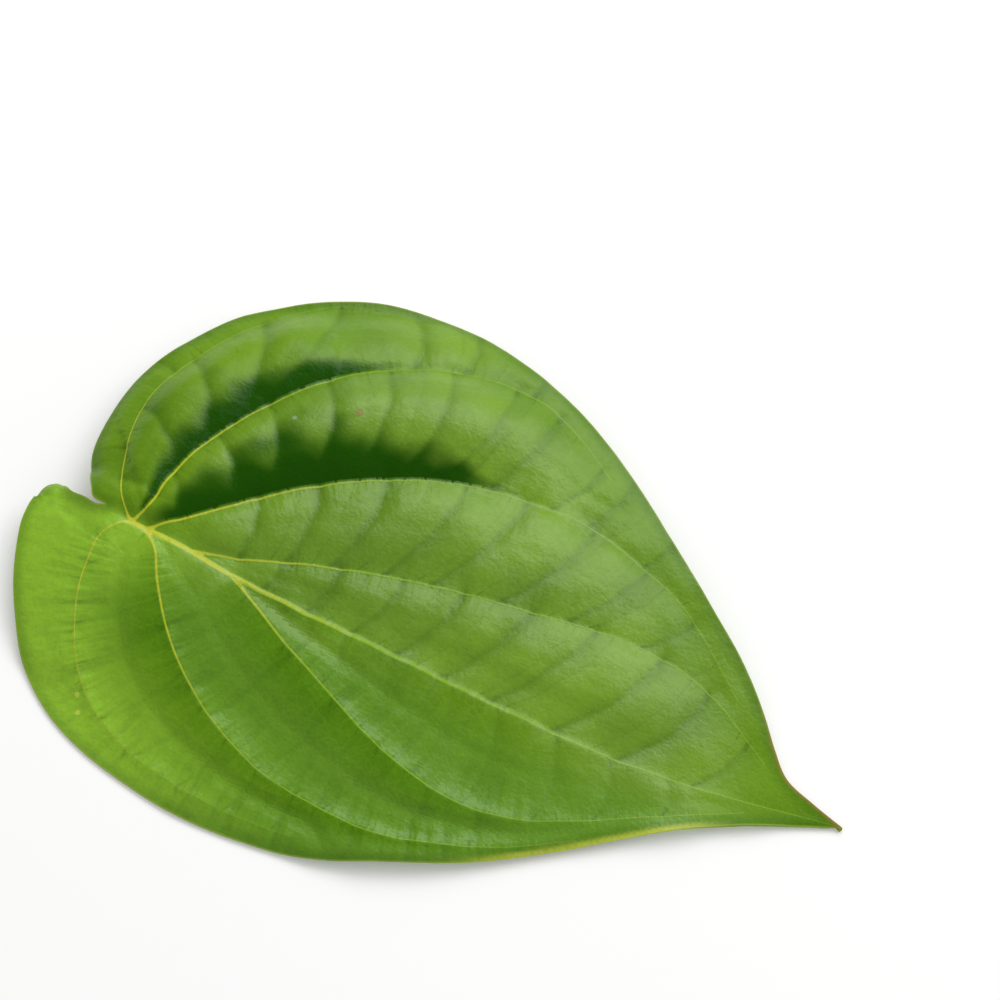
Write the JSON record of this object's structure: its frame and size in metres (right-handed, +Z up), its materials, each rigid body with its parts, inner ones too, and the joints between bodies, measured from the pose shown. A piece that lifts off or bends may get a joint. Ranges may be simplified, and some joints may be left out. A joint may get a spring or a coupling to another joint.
{
  "type": "betel leaf",
  "caption": "Heart-shaped betel leaf with an arched, quilted blade, furrowed main veins, ribs standing out below, a drawn-out tip and a short cut stalk.",
  "frame": {"origin": "on the surface that the leaf lies on, under the middle of its box", "axes": "+X from the stalk to the tip, +Y to the leaf's left, +Z up out of the upper side"},
  "size_m": [0.1258, 0.0902, 0.0109],
  "materials": {
    "leaf_green": "fresh mid-green leaf, satin upper side, paler veins"
  },
  "bodies": {
    "root": {"betel_leaf": "leaf_green"}
  },
  "joints": []
}
